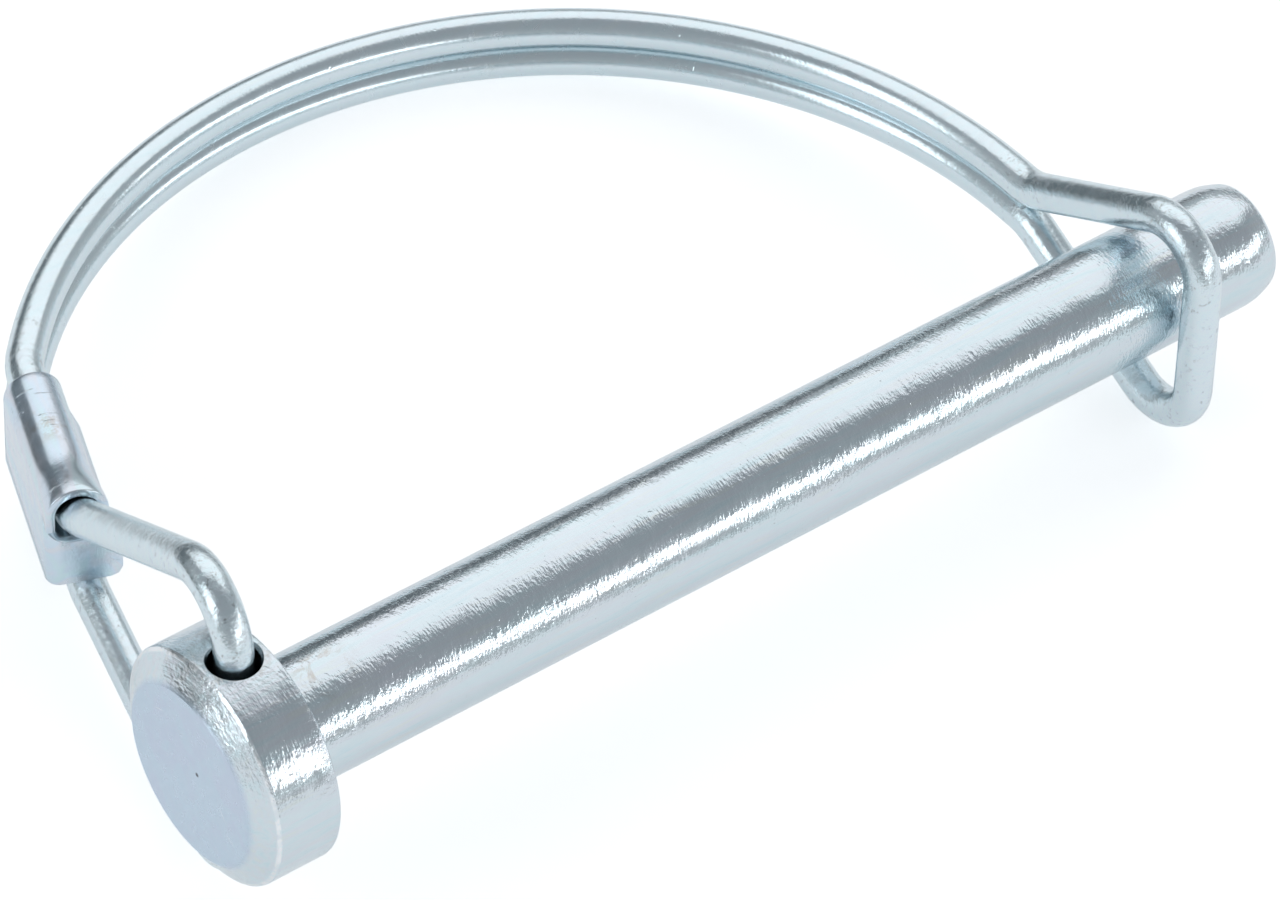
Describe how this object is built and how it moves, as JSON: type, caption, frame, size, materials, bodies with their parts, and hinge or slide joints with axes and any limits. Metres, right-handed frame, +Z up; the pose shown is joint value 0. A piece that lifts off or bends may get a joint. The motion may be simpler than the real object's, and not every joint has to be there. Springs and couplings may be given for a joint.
{
  "type": "wire bow lynch pin",
  "caption": "Headed steel locking pin with a sprung round wire bow hinged in its head, a looped end that hooks over the tip and a folded sheet ferrule on the wire.",
  "frame": {"origin": "on the resting surface, under the centre of the part's box", "axes": "+Z up from the resting surface, +X from the head of the pin towards its tip, +Y towards the bow"},
  "size_m": [0.0998, 0.067, 0.0298],
  "materials": {
    "zinc_pin": "bright zinc plate with a blue clear passivate",
    "zinc_wire": "bright zinc plate, rougher at the bends",
    "zinc_sheet": "bright zinc plate with violet and teal tints"
  },
  "bodies": {
    "pin": {"pin": "zinc_pin"},
    "bow": {"wire_bow": "zinc_wire", "ferrule": "zinc_sheet"}
  },
  "joints": [
    {"name": "bow_swing", "type": "hinge", "parent": "pin", "child": "bow", "pos_m": [-0.04539, -0.0239, 0.01516], "axis": [0.0586, 0.1635, 0.9848], "range_deg": [0, 261]}
  ]
}
